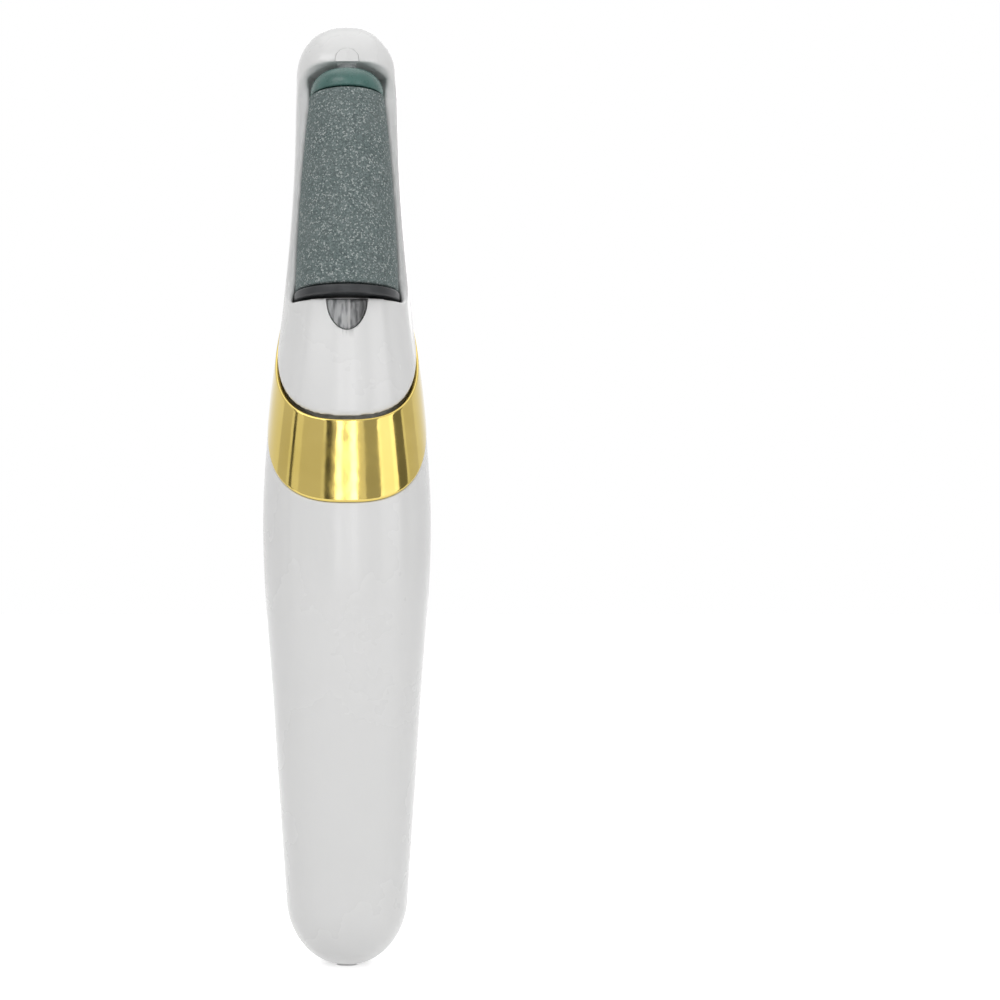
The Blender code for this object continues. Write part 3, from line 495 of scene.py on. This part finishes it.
def grainHeight(rows, columns, seed):
    # seeded grit: three sizes of smoothed random dots, wrapping round the roller
    random = np.random.default_rng(seed)
    total = np.zeros((rows, columns))
    for spread, weight in ((0, 0.5), (1, 0.8), (2, 0.6)):
        layer = random.random((rows, columns)) ** 3
        for _ in range(spread):
            upDown = np.roll(layer, 1, 0) + np.roll(layer, -1, 0)
            layer = (layer + upDown + np.roll(layer, 1, 1) + np.roll(layer, -1, 1)) / 5
        total += weight * (layer - layer.mean()) / layer.std()
    return total / np.abs(total).max()


def makeSleeve(material):
    shape = sleeveShape
    share = np.linspace(0, 1, shape["rows"])
    height = shape["low"] + (rollerForm["sleeveTop"] - shape["low"]) * share
    edge = np.minimum(height - shape["low"], rollerForm["sleeveTop"] - height) / shape["edge"]
    lip = shape["edge"] * (1 - np.sqrt(1 - np.clip(1 - edge, 0, 1) ** 2))
    radius = rollerRadius(share) - lip - 0.00003
    skin = turnedPoints(radius, height, shape["columns"])
    out = skin - (rollerFoot + height[:, None, None] * rollerUp)
    out /= np.linalg.norm(out, axis=-1, keepdims=True)
    grain = grainHeight(shape["rows"], shape["columns"], 11) * shape["grain"] * np.clip(edge, 0, 1)[:, None]
    skin = skin + out * grain[..., None]
    bore = turnedPoints((shape["bore"], shape["bore"]), (height[-1], height[0]), shape["columns"])
    obj = newObject("gritSleeve", gridMesh("gritSleeve", np.concatenate((skin, bore, skin[:1]))))
    weldDoubles(obj)
    return finish(obj, material, "roller", "roller_sleeve")


def makeTurned(name, profile, material, body, *nodes):
    # profile of radius and height from the foot up the outside, rounded one by one where it needs it
    radii, heights = zip(*profile)
    obj = newObject(name, gridMesh(name, turnedPoints(radii, heights, 128)))
    weldDoubles(obj, 2e-6)
    obj.data.set_sharp_from_angle(angle=math.radians(32))
    return finish(obj, material, body, *nodes)


capShape = {"low": 0.0392, "top": 0.0435, "foot": 0.0068, "crown": 0.0031, "bore": 0.0020}


def makeCap(material):
    shape = capShape
    turn = np.linspace(0, np.pi / 2, 22)
    low, top, foot, crown, bore = (shape[key] for key in ("low", "top", "foot", "crown", "bore"))
    band, edge, lip = 0.0004, 0.0002, 0.0003
    rise = top - low - band
    dome = [(crown + (foot - crown) * math.cos(a), low + band + rise * math.sin(a)) for a in turn]
    start = [(bore, low), (foot - edge, low), (foot, low + edge)]
    inside = [(bore + lip, top), (bore, top - lip), (bore, low)]
    return makeTurned("greenCap", start + dome + inside, material, "roller", "roller_cap")


coreShape = {
    "flange": 0.00975, "low": 0.0005, "top": 0.0021, "tube": 0.0050, "bore": 0.0024, "round": 0.00035,
    "dogHole": 0.0030, "dogDepth": 0.0017, "stemHole": 0.0012, "springLow": 0.0314,
}


def makeCore(material):
    shape = coreShape
    turn = np.linspace(0, np.pi / 2, 7)
    flange, low, top, edge = shape["flange"], shape["low"], shape["top"], shape["round"]
    hole, stem, springLow = shape["dogHole"], shape["stemHole"], shape["springLow"]
    holeTop = low + shape["dogDepth"]
    rim = [(flange - edge * (1 - math.sin(a)), low + edge * (1 - math.cos(a))) for a in turn]
    rim += [(flange - edge * (1 - math.cos(a)), top - edge * (1 - math.sin(a))) for a in turn]
    tubeTop = rollerForm["sleeveTop"]
    start = [(hole, holeTop), (hole, low)]
    end = [(shape["tube"], top), (shape["tube"], tubeTop)]
    end += [(shape["bore"], tubeTop), (shape["bore"], springLow)]
    end += [(stem, springLow), (stem, holeTop), (hole, holeTop)]
    return makeTurned("rollerFlange", start + rim + end, material, "roller", "roller_core")


pinShape = {
    "radius": 0.0019, "collar": 0.0022, "stub": 0.0011,
    "foot": 0.0354, "collarLow": 0.0374, "collarTop": 0.0386, "tip": 0.0463, "edge": 0.0003,
}


def makePin(material):
    shape = pinShape
    radius, collar, stub, edge = shape["radius"], shape["collar"], shape["stub"], shape["edge"]
    collarLow, collarTop, tip = shape["collarLow"], shape["collarTop"], shape["tip"]
    profile = [(0.0, shape["foot"]), (stub, shape["foot"]), (stub, collarLow), (collar, collarLow)]
    profile += [(collar, collarTop), (radius, collarTop)]
    profile += [(radius, tip - edge), (radius - edge, tip), (0.0, tip)]
    return makeTurned("rollerPin", profile, material, "roller_pin", "roller_pin")


def makeLens(material):
    # rows run from the outline in to the middle, on the body's own surface
    share = np.linspace(1, 0.02, 28)[:, None]
    x, height = lensOutline(-0.00008)
    middle = floorZ - 0.0022
    x, z = x * share, middle + (height - middle) * share
    face = surfaceAt(x, z) + 0.00002
    rounded = 0.0003 * (1 - np.sqrt(1 - np.clip((share - 0.9) / 0.1, 0, 1) ** 2))
    front = np.stack((x, face + rounded, z), axis=-1)
    back = np.stack((x, face + 0.0016, z), axis=-1)[::-1]
    points = np.concatenate((front[::-1], back[::-1]))
    obj = newObject("lampWindow", gridMesh("lampWindow", points, capLow=True, capTop=True))
    weldDoubles(obj)
    return finish(obj, material, "root", "led_lens")


def surfaceAt(x, z):
    # depth of the body's front at a place across and up
    half, front, _, widest = np.moveaxis(stationValues(z), -1, 0)
    power = bodyForm["frontPower"]
    return widest + (front - widest) * (1 - np.abs(np.clip(x / half, -1, 1)) ** power) ** (1 / power)


def makeLamp(material):
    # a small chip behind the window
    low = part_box("led_chip")[0]
    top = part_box("led_chip")[1]
    points = []
    for inset, depth in ((0.0, 1.0), (0.0, 0.3), (0.0002, 0.0)):
        y = low[1] + (top[1] - low[1]) * depth
        corners = [(low[0] + inset, low[2] + inset), (top[0] - inset, low[2] + inset)]
        corners += [(top[0] - inset, top[2] - inset), (low[0] + inset, top[2] - inset)]
        points.append([(cx, y, cz) for cx, cz in corners])
    obj = newObject("lampChip", gridMesh("lampChip", np.array(points), capLow=True, capTop=True))
    weldDoubles(obj)
    finish(obj, material, "root", "led_chip")
    obj.data.set_sharp_from_angle(angle=math.radians(30))


sliderShape = {
    "half": 0.00295, "low": 0.0815, "top": 0.1035,
    "base": 0.0128, "face": 0.0138, "bevel": 0.00045,
}
ridgeShape = {"middle": 0.0925, "half": 0.0019, "rise": 0.0005}


def makeSlider(material):
    shape = sliderShape
    turn = np.linspace(0, 2 * np.pi, 257)[:-1]
    share = np.concatenate((np.linspace(0.0, 0.8, 60)[1:], np.linspace(0.8, 1.0, 16)[1:]))
    straight = (shape["top"] - shape["low"]) / 2 - shape["half"]
    middle = (shape["top"] + shape["low"]) / 2
    side = np.cos(turn)
    # a slot shape as a stretched circle: the ends keep their round, the sides stay straight
    corner = np.sign(np.sin(turn)) * straight * np.clip(np.abs(np.sin(turn)) / 0.35, 0, 1)
    x = shape["half"] * share[:, None] * np.sign(side) * np.abs(side) ** 0.9
    z = middle + corner * share[:, None] + shape["half"] * share[:, None] * np.sin(turn)
    away = (1 - share)[:, None] * shape["half"]
    bevel = shape["bevel"]
    drop = bevel * (1 - np.sqrt(np.clip(1 - np.clip(1 - away / bevel, 0, 1) ** 2, 0, 1)))
    up = (z - ridgeShape["middle"]) / ridgeShape["half"]
    ridge = ridgeShape["rise"] * np.sqrt(np.clip(1 - up**2, 0, 1)) * smoothStep(0.0, 0.0006, away)
    grooves = 0.00008 * np.cos(up * 9) * (np.abs(up) < 1) * smoothStep(0.0, 0.0006, away)
    y = shape["face"] - drop + ridge + grooves + 0 * x
    face = np.stack((x, y, z), axis=-1)
    skirt = face[-1:].copy()
    skirt[..., 1] = shape["base"]
    points = np.concatenate((face, skirt))
    obj = newObject("switchSlider", gridMesh("switchSlider", points, capLow=True, capTop=True))
    weldDoubles(obj)
    # the rim attribute is painted shade: dark round the slider's outline and in bands either side of its
    # ridge
    rim = obj.data.attributes.new("rim", "FLOAT", "POINT")
    where = np.empty(len(obj.data.vertices) * 3)
    obj.data.vertices.foreach_get("co", where)
    where = where.reshape(-1, 3)
    near = -oblongDistance(where[:, 0], where[:, 2], shape["half"], shape["low"], shape["top"])
    fold = (where[:, 2] - ridgeShape["middle"]) / ridgeShape["half"]
    # painted shade bands either side of the ridge, the lower one darker
    fold = np.exp(-(((fold - 0.85) / 0.22) ** 2)) * 0.75 + np.exp(-(((fold + 0.75) / 0.35) ** 2))
    paintedEdgeShade = np.maximum(1 - smoothStep(0.0003, 0.00065, near), fold)
    rim.data.foreach_set("value", np.clip(paintedEdgeShade, 0, 1).astype(np.float32))
    return finish(obj, material, "switch", "switch_slider")


class Socket:
    # a shader value that takes part in sums
    def __init__(self, shader, link):
        self.shader, self.link = shader, link

    def combined(self, operation, first, second):
        return self.shader.node("ShaderNodeMath", {"operation": operation}, {0: first, 1: second})

    def __add__(self, other):
        return self.combined("ADD", self, other)

    __radd__ = __add__

    def __mul__(self, other):
        return self.combined("MULTIPLY", self, other)

    __rmul__ = __mul__

    def __sub__(self, other):
        return self.combined("SUBTRACT", self, other)

    def __rsub__(self, other):
        return self.combined("SUBTRACT", other, self)


class Shader:
    def __init__(self, name, **values):
        self.material = bpy.data.materials.new(name)
        self.material.use_nodes = True
        self.tree = self.material.node_tree
        self.main = self.tree.nodes["Principled BSDF"]
        for socket, value in values.items():
            self.main.inputs[socket.replace("_", " ")].default_value = value
        self.place = self.node("ShaderNodeTexCoord", {}, {}, "Object")

    def node(self, kind, settings, values, output=0):
        made = self.tree.nodes.new(kind)
        for key, value in settings.items():
            if key == "stops":
                for stop, (position, colour) in zip(self.rampStops(made, len(value)), value):
                    stop.position, stop.color = position, (*colour, 1)
            else:
                setattr(made, key, value)
        for key, value in values.items():
            if isinstance(value, Socket):
                self.tree.links.new(value.link, made.inputs[key])
            else:
                made.inputs[key].default_value = value
        return Socket(self, made.outputs[output])

    def rampStops(self, ramp, count):
        while len(ramp.color_ramp.elements) < count:
            ramp.color_ramp.elements.new(0.5)
        return ramp.color_ramp.elements

    def noise(self, scale, detail=3.0, roughness=0.55):
        values = {"Vector": self.place, "Scale": scale, "Detail": detail, "Roughness": roughness}
        return self.node("ShaderNodeTexNoise", {}, values, "Fac")

    def cells(self, scale, output="Distance"):
        return self.node("ShaderNodeTexVoronoi", {}, {"Vector": self.place, "Scale": scale}, output)

    def ramp(self, value, *stops):
        return self.node("ShaderNodeValToRGB", {"stops": stops}, {"Fac": value}, "Color")

    def remap(self, value, low, top, start, end):
        values = {"Value": value, "From Min": low, "From Max": top, "To Min": start, "To Max": end}
        return self.node("ShaderNodeMapRange", {}, values, "Result")

    def mix(self, factor, first, second):
        return self.node("ShaderNodeMix", {"data_type": "RGBA"}, {0: factor, 6: first, 7: second}, 2)

    def feed(self, **links):
        for name, value in links.items():
            self.tree.links.new(value.link, self.main.inputs[name.replace("_", " ")])
        return self

    def bump(self, height, strength, distance):
        values = {"Height": height, "Strength": strength, "Distance": distance}
        made = self.node("ShaderNodeBump", {}, values, "Normal")
        return self.feed(Normal=made)


def whitePlastic():
    # moulded gloss white: a little mottling, very fine texture and a few soft smudges
    made = Shader("whitePlastic", Coat_Weight=0.3, Coat_Roughness=0.09, IOR=1.5)
    tone = made.ramp(made.noise(60), (0.3, (0.812, 0.812, 0.807)), (0.7, (0.828, 0.828, 0.823)))
    smudge = made.remap(made.noise(35, 5), 0.3, 0.8, 0.25, 0.31)
    made.feed(Base_Color=tone, Roughness=smudge)
    return made.bump(made.noise(1400, 2), 0.05, 0.0002).material


def goldPlating():
    # mirror gold: slow colour drift, uneven shine and a faint fine bump
    made = Shader("goldPlating", Metallic=1.0, Coat_Weight=0.5, Coat_Roughness=0.05)
    tone = made.ramp(made.noise(90), (0.3, (0.60, 0.46, 0.115)), (0.7, (0.67, 0.52, 0.15)))
    shine = made.remap(made.noise(250, 4), 0.3, 0.7, 0.06, 0.14)
    made.feed(Base_Color=tone, Roughness=shine)
    return made.bump(made.noise(320, 2), 0.06, 0.0003).material


def paleGold():
    # satin face, turned copper brown by painted shade round its edge and either side of its ridge
    made = Shader("paleGold", Metallic=0.85)
    rim = made.node("ShaderNodeAttribute", {"attribute_name": "rim"}, {}, "Fac")
    tone = made.ramp(made.noise(300), (0.3, (0.90, 0.78, 0.48)), (0.7, (0.94, 0.85, 0.60)))
    # copper brown painted shade where the rim attribute is high
    copper = made.mix(rim * 0.92, tone, (0.36, 0.17, 0.05, 1))
    shine = made.remap(made.noise(900, 3), 0.3, 0.7, 0.26, 0.38)
    made.feed(Base_Color=copper, Roughness=shine)
    return made.bump(made.noise(1800, 2), 0.08, 0.0002).material


def gritStone():
    # grey-green mineral with pale and dark grains
    made = Shader("gritStone", Specular_IOR_Level=0.35)
    fine = made.cells(4200, "Color")
    grain = made.node("ShaderNodeSeparateColor", {}, {0: fine}, 0)
    darks = (0.0, (0.075, 0.10, 0.10)), (0.5, (0.14, 0.185, 0.182))
    lights = (0.82, (0.21, 0.26, 0.255)), (0.95, (0.50, 0.54, 0.53))
    base = made.ramp(grain, *darks, *lights)
    patch = made.remap(made.noise(260, 4), 0.3, 0.7, 0.0, 0.35)
    made.feed(Base_Color=made.mix(patch, base, (0.20, 0.235, 0.23, 1)))
    made.feed(Roughness=made.remap(grain, 0, 1, 0.6, 0.95))
    return made.bump(made.cells(4200) + made.noise(3000, 3) * 0.5, 0.6, 0.0002).material


def plainFinish(name, dark, light, rough, metal=0.0, scale=400, **more):
    # any moulded or turned piece: two near colours, uneven roughness, fine bump
    made = Shader(name, Metallic=metal, **more)
    tone = made.ramp(made.noise(scale), (0.3, dark), (0.7, light))
    uneven = made.remap(made.noise(scale * 2), 0.3, 0.7, rough - 0.06, rough + 0.06)
    made.feed(Base_Color=tone, Roughness=uneven)
    return made.bump(made.noise(scale * 4, 2), 0.08, 0.0002).material


def clearWindow():
    # clear moulding with faint upright flow lines, a painted shadow darkening it towards +x and a painted
    # highlight bar just to +x of its middle
    made = Shader("clearWindow", Transmission_Weight=0.45, IOR=1.49, Roughness=0.08)
    flow = made.node("ShaderNodeMapping", {}, {"Vector": made.place, "Scale": (1.0, 1.0, 0.08)}, "Vector")
    lines = made.node("ShaderNodeTexNoise", {}, {"Vector": flow, "Scale": 1500.0, "Detail": 2.0}, "Fac")
    tint = made.ramp(lines, (0.38, (0.28, 0.29, 0.30)), (0.6, (0.80, 0.81, 0.82)))
    across = made.node("ShaderNodeSeparateXYZ", {}, {0: made.place}, 0)
    # a narrow upright painted highlight bar just to +x of the middle
    highlightPlace = made.remap(across, 0.0001, 0.0007, 0, 1)
    paintedHighlight = made.ramp(highlightPlace, (0.0, (0, 0, 0)), (0.5, (1, 1, 1)), (1.0, (0, 0, 0)))
    # painted shadow: the window grows darker towards +x
    paintedShadow = made.remap(across, -0.0004, 0.0026, 0.15, 0.8)
    tint = made.mix(paintedShadow, tint, (0.10, 0.10, 0.10, 1))
    tint = made.mix(made.node("ShaderNodeSeparateColor", {}, {0: paintedHighlight}, 0), tint, (0.85, 0.85, 0.85, 1))
    made.feed(Base_Color=tint)
    return made.bump(lines, 0.35, 0.0003).material


print("materials")
finishes = {
    "white": whitePlastic(),
    "gold": goldPlating(),
    "paleGold": paleGold(),
    "grit": gritStone(),
    "green": plainFinish("greenCapPlastic", (0.045, 0.125, 0.11), (0.065, 0.165, 0.145), 0.28),
    "dark": plainFinish("darkPlastic", (0.018, 0.020, 0.022), (0.032, 0.035, 0.038), 0.42),
    "grey": plainFinish("greyPlastic", (0.40, 0.41, 0.42), (0.48, 0.49, 0.50), 0.45),
    "steel": plainFinish("steelFinish", (0.55, 0.55, 0.56), (0.66, 0.66, 0.67), 0.30, 1.0),
    "brass": plainFinish("brassFinish", (0.66, 0.48, 0.20), (0.78, 0.58, 0.28), 0.32, 1.0),
    "board": plainFinish("boardFinish", (0.015, 0.14, 0.06), (0.03, 0.22, 0.09), 0.45),
    "rubber": plainFinish("sealRubber", (0.015, 0.015, 0.015), (0.03, 0.03, 0.03), 0.75),
    "copper": plainFinish("copperLead", (0.70, 0.32, 0.18), (0.80, 0.42, 0.26), 0.35, 1.0),
    "cell": plainFinish("cellWrap", (0.04, 0.16, 0.42), (0.06, 0.22, 0.52), 0.35),
    "clear": clearWindow(),
    "lamp": plainFinish("lampPhosphor", (0.75, 0.66, 0.20), (0.85, 0.76, 0.30), 0.4),
}
slotFinish = {
    "white_shell": "white", "gold_plating": "gold", "pale_gold_plating": "paleGold", "grit": "grit",
    "green_plastic": "green", "dark_plastic": "dark", "grey_plastic": "grey", "clear_window": "clear",
    "circuit_board": "board", "seal_rubber": "rubber", "cell_wrap": "cell", "copper_lead": "copper",
    "brass": "brass", "steel": "steel",
}
for entry in frame["record"]["subparts"]:
    node = bpy.data.objects.get(entry["node"])
    if node and node.type == "MESH":
        node.data.materials.clear()
        node.data.materials.append(finishes[slotFinish[entry["material_slot"]]])

print("handle")
makeHandle("handleBackSkin", "handle_back", 0.0, math.pi, finishes["white"])
makeHandle("handleFrontSkin", "handle_front", -math.pi, 0.0, finishes["white"])
print("ring and hood")
makeRing(finishes["gold"])
makeHood(finishes["white"])
print("roller")
makeSleeve(finishes["grit"])
makeCap(finishes["green"])
makeCore(finishes["dark"])
makePin(finishes["grey"])
print("switch and lamp")
makeSlider(finishes["paleGold"])
makeLens(finishes["clear"])
makeLamp(finishes["lamp"])


stageShape = {"size": 1.6, "whiteGlow": 0.62}
lampList = {
    "keyLamp": {"place": (-0.45, -0.75, 0.75), "size": 0.6, "power": 2.9},
    "fillLamp": {"place": (0.60, -0.60, 0.30), "size": 0.7, "power": 1.5},
    "backLamp": {"place": (0.20, 0.85, 0.60), "size": 0.7, "power": 2.0},
    "topLamp": {"place": (0.0, 0.0, 1.1), "size": 0.8, "power": 1.4},
}
cardShape = {"reach": 0.62, "low": -0.25, "top": 0.55}
# angles from the front, and how bright each card is
cardList = [
    (-66, -60, 0.10), (-46, -15, 0.78), (-12, -7, 0.10), (-7, -4, 0.55), (-4, -1.2, 4.2), (-1.2, 0.6, 0.9),
    (0.6, 3.4, 4.6), (3.4, 9, 1.0), (9, 24, 0.50), (28, 44, 1.7), (52, 72, 0.22),
    (-100, -72, 0.75), (78, 110, 0.8),
]
cameraShape = {"distance": 0.265, "lens": 50.7, "height": 0.0869, "shift": 0.153}


def makeCards():
    # upright strips round the tool, seen only in reflections
    for number, (start, end, glow) in enumerate(cardList):
        turn = np.radians(np.linspace(start, end, 9))
        height = np.array((cardShape["low"], cardShape["top"]))[:, None]
        x, y = cardShape["reach"] * np.sin(turn), -cardShape["reach"] * np.cos(turn)
        points = np.stack(np.broadcast_arrays(x, y, height), axis=-1)
        obj = newObject(f"card{number}", gridMesh(f"card{number}", points, closedAround=False))
        made = Shader(f"cardGlow{number}", Roughness=1.0, Emission_Strength=glow, Specular_IOR_Level=0.0)
        made.main.inputs["Base Color"].default_value = (0, 0, 0, 1)
        made.main.inputs["Emission Color"].default_value = (1.0, 0.99, 1.0, 1)
        obj.data.materials.append(made.material)
        obj.visible_camera = obj.visible_diffuse = obj.visible_shadow = obj.visible_transmission = False


def makeFloor():
    size = stageShape["size"]
    side = np.linspace(-size / 2, size / 2, 9)
    x, y = np.meshgrid(side, side)
    points = np.stack((x, y, 0 * x - 0.00005), axis=-1)
    obj = newObject("floor", gridMesh("floor", points, closedAround=False))
    made = Shader("floorPaper", Roughness=0.9, Emission_Strength=stageShape["whiteGlow"])
    seen = made.node("ShaderNodeLightPath", {}, {}, "Is Camera Ray")
    seen = seen + made.node("ShaderNodeLightPath", {}, {}, "Is Glossy Ray")
    seen = seen + made.node("ShaderNodeLightPath", {}, {}, "Is Transmission Ray")
    made.feed(Emission_Color=seen)
    made.feed(Base_Color=made.ramp(made.noise(8), (0.3, (0.83, 0.83, 0.83)), (0.7, (0.86, 0.86, 0.86))))
    obj.data.materials.append(made.material)


def makeWorld():
    world = bpy.data.worlds.new("studio")
    bpy.context.scene.world = world
    world.use_nodes = True
    tree = world.node_tree
    tree.nodes.clear()
    path = tree.nodes.new("ShaderNodeLightPath")
    plain, white = tree.nodes.new("ShaderNodeBackground"), tree.nodes.new("ShaderNodeBackground")
    plain.inputs["Color"].default_value, plain.inputs["Strength"].default_value = (1, 1, 1, 1), 0.42
    white.inputs["Color"].default_value, white.inputs["Strength"].default_value = (1, 1, 1, 1), 1.0
    seen = tree.nodes.new("ShaderNodeMath")
    seen.operation = "MAXIMUM"
    seen.use_clamp = True
    more = tree.nodes.new("ShaderNodeMath")
    more.operation = "MAXIMUM"
    tree.links.new(path.outputs["Is Camera Ray"], more.inputs[0])
    tree.links.new(path.outputs["Is Glossy Ray"], more.inputs[1])
    tree.links.new(more.outputs[0], seen.inputs[0])
    tree.links.new(path.outputs["Is Transmission Ray"], seen.inputs[1])
    mixed = tree.nodes.new("ShaderNodeMixShader")
    out = tree.nodes.new("ShaderNodeOutputWorld")
    tree.links.new(seen.outputs[0], mixed.inputs[0])
    tree.links.new(plain.outputs[0], mixed.inputs[1])
    tree.links.new(white.outputs[0], mixed.inputs[2])
    tree.links.new(mixed.outputs[0], out.inputs[0])


def aimed(place, target):
    # rotation that points an object's -Z from place to target
    forward = np.array(target, float) - np.array(place, float)
    return Vector(forward).to_track_quat("-Z", "Y").to_euler()


def makeLamps():
    for name, values in lampList.items():
        light = bpy.data.lights.new(name, "AREA")
        light.energy, light.size = values["power"], values["size"]
        obj = bpy.data.objects.new(name, light)
        bpy.context.scene.collection.objects.link(obj)
        obj.location = values["place"]
        obj.rotation_euler = aimed(values["place"], (0, 0, topZ / 2))


def makeCamera():
    shape = cameraShape
    camera = bpy.data.cameras.new("camera")
    camera.lens, camera.shift_x = shape["lens"], shape["shift"]
    camera.clip_start = 0.01
    obj = bpy.data.objects.new("camera", camera)
    bpy.context.scene.collection.objects.link(obj)
    obj.location = (0, -shape["distance"], shape["height"])
    obj.rotation_euler = (math.pi / 2, 0, 0)
    bpy.context.scene.camera = obj


print("floor, light and camera")
makeFloor()
makeCards()
makeWorld()
makeLamps()
makeCamera()
bpy.context.scene.view_settings.view_transform = "Standard"
